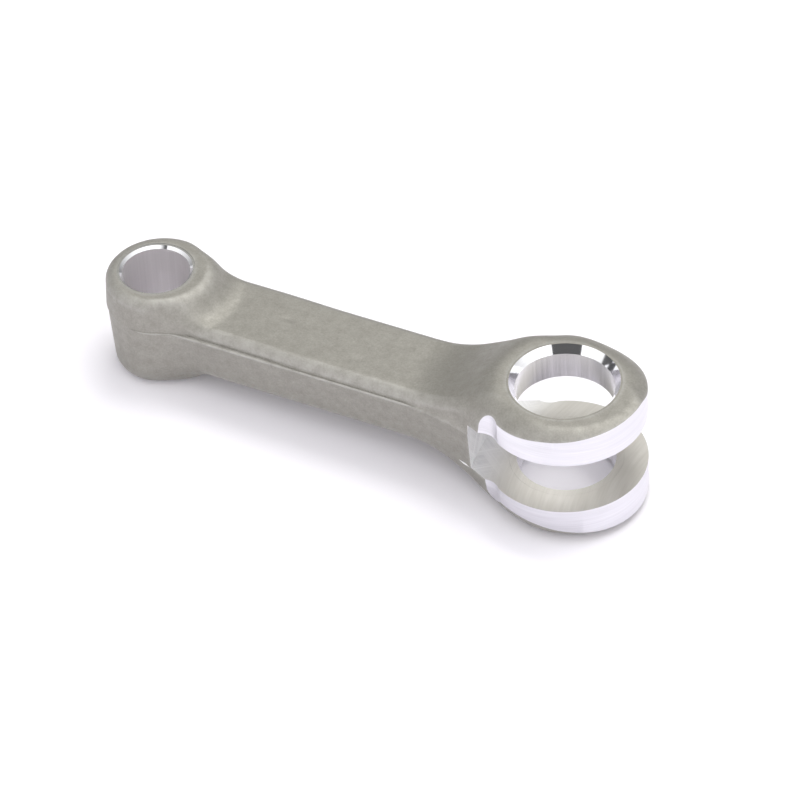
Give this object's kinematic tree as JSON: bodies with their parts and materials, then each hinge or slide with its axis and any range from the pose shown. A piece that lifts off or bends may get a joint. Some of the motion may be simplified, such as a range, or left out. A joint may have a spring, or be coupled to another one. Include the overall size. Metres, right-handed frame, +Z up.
{
  "type": "connecting rod",
  "caption": "Forged forked connecting rod: a bored small end, a flat shank, and a slotted big end whose two tines are turned round the crankpin bore.",
  "frame": {"origin": "under the middle of the rod's outer box, at the height of the big end's lower face", "axes": "+X along the rod from the small end to the big end, +Z up along both bores"},
  "size_m": [0.0596, 0.0164, 0.014],
  "materials": {
    "forging": "shot-blasted forging skin, bright where it is machined",
    "bush": "bright bored bearing alloy"
  },
  "bodies": {
    "root": {"rod_forging": "forging", "small_end_bush": "bush", "big_end_bush_upper": "bush", "big_end_bush_lower": "bush"}
  },
  "joints": []
}
